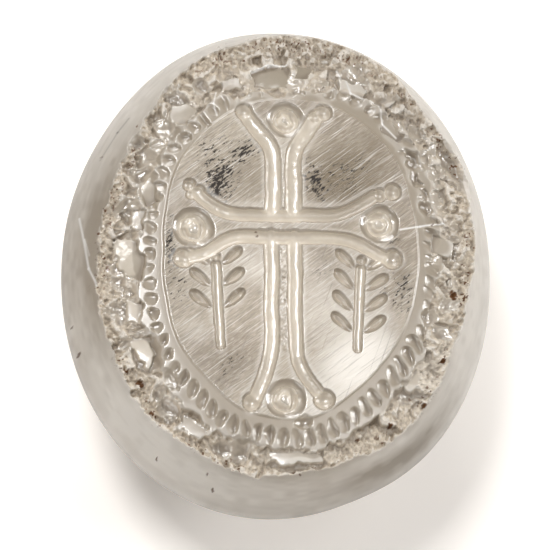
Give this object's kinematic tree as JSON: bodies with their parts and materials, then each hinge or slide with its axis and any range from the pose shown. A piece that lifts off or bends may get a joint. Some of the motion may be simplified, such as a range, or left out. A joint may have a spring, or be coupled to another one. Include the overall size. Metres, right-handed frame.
{
  "type": "seal stamp",
  "caption": "Oval rock-crystal seal stone with a domed polished back and a flat face engraved with a cross in a pitted border.",
  "frame": {"origin": "middle of the stone's box on the surface that it stands on, under the resting flat of its domed back", "axes": "+Z from the resting flat up to the engraved face, +Y to the top of the engraved design, +X to the design's right"},
  "size_m": [0.0194, 0.0222, 0.012],
  "materials": {
    "rock_crystal": "clear, faintly warm rock crystal: satin-polished dome, finely scratched flat face, rough chipped edge"
  },
  "bodies": {
    "root": {"seal_stone": "rock_crystal"}
  },
  "joints": []
}
